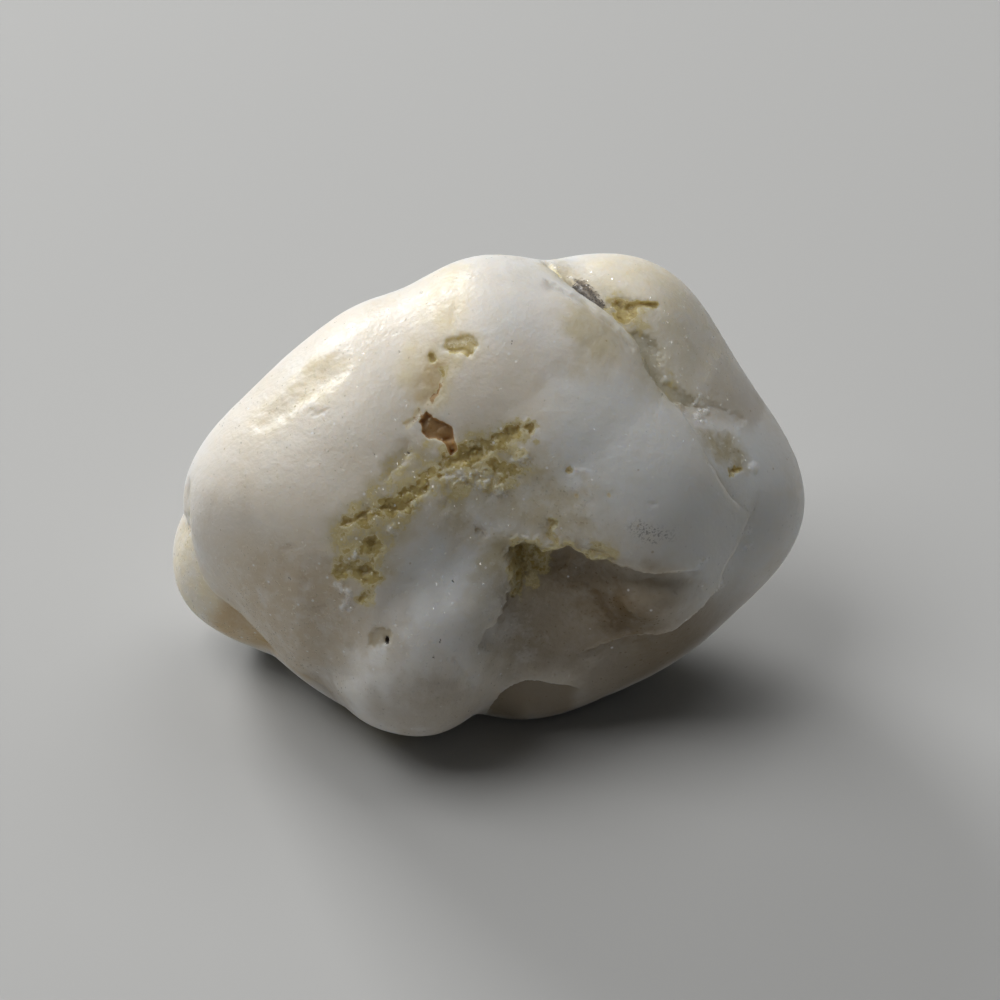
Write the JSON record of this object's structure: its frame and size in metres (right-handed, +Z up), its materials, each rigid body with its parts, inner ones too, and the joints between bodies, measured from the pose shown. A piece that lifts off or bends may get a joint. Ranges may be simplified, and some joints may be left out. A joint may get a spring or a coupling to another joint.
{
  "type": "quartz pebble",
  "caption": "Water-worn pebble of milky quartz with rounded lobes, pitted seams and a small flat that it rests on.",
  "frame": {"origin": "on the surface it rests on, under the middle of the pebble's bounding box", "axes": "+Z up, +X along the pebble's longest side, the pitted face looks up and towards -Y"},
  "size_m": [0.0528, 0.035, 0.0353],
  "materials": {
    "milky_quartz": "frosted, translucent at thin edges, ochre stain in the pits and seams"
  },
  "bodies": {
    "root": {"quartz_pebble": "milky_quartz"}
  },
  "joints": []
}
